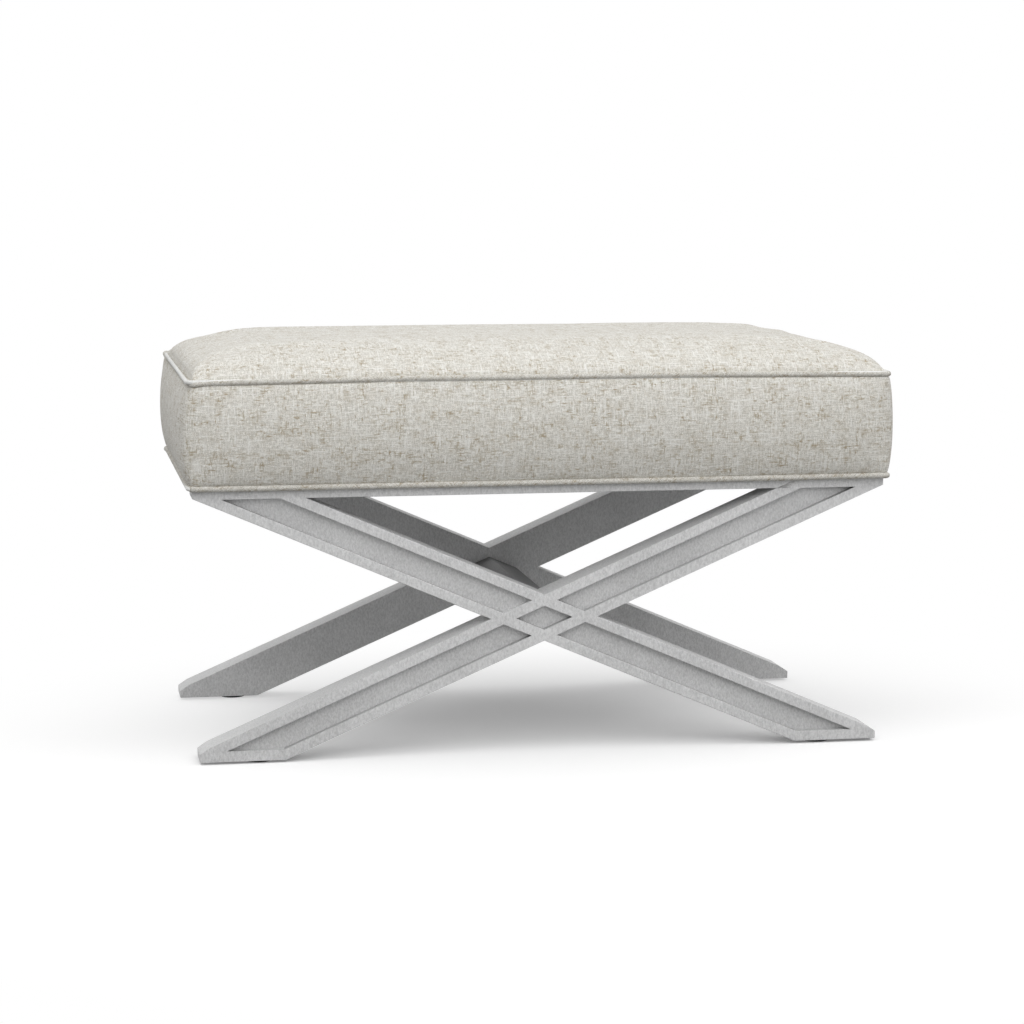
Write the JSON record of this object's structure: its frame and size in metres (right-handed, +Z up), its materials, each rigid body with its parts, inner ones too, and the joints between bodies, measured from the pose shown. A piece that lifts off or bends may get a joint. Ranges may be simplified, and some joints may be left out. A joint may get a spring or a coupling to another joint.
{
  "type": "ottoman",
  "caption": "Rectangular upholstered ottoman: a crowned, welted box seat on two crossed-leg frames with recessed outer faces, joined by a stretcher.",
  "frame": {"origin": "on the floor, under the middle of the seat", "axes": "+X along the ottoman, towards the right end seen from the front; -Y is the front; +Z is up"},
  "size_m": [0.822, 0.459, 0.4694],
  "materials": {
    "silver_frame": "satin",
    "dowel_wood": "matte",
    "seat_frame_wood": "matte",
    "glide_plastic": "matte",
    "steel": "satin",
    "jute_webbing": "matte",
    "deck_cloth": "matte",
    "foam": "matte",
    "batting": "matte",
    "cover_fabric": "matte",
    "welt_cord": "matte",
    "dust_cover": "matte"
  },
  "bodies": {
    "root": {"front_leg_rising": "silver_frame", "front_leg_falling": "silver_frame", "front_top_rail": "silver_frame", "rear_leg_rising": "silver_frame", "rear_leg_falling": "silver_frame", "rear_top_rail": "silver_frame", "stretcher": "silver_frame", "front_rail_dowels": "dowel_wood", "rear_rail_dowels": "dowel_wood", "stretcher_dowels": "dowel_wood", "seat_frame_dowels": "dowel_wood", "seat_rail_front": "seat_frame_wood", "seat_rail_rear": "seat_frame_wood", "seat_rail_left": "seat_frame_wood", "seat_rail_right": "seat_frame_wood", "seat_cross_rail": "seat_frame_wood", "corner_blocks": "seat_frame_wood", "front_left_glide": "glide_plastic", "front_right_glide": "glide_plastic", "rear_left_glide": "glide_plastic", "rear_right_glide": "glide_plastic", "front_seat_screws": "steel", "rear_seat_screws": "steel", "dust_cover_staples": "steel", "webbing_end_to_end": "jute_webbing", "webbing_front_to_back": "jute_webbing", "deck_cloth": "deck_cloth", "foam_core": "foam", "batting_wrap": "batting", "cover_top": "cover_fabric", "band_front": "cover_fabric", "band_right": "cover_fabric", "band_rear": "cover_fabric", "band_left": "cover_fabric", "upper_welt": "cover_fabric", "lower_welt": "cover_fabric", "upper_welt_cord": "welt_cord", "lower_welt_cord": "welt_cord", "dust_cover": "dust_cover"}
  },
  "joints": []
}
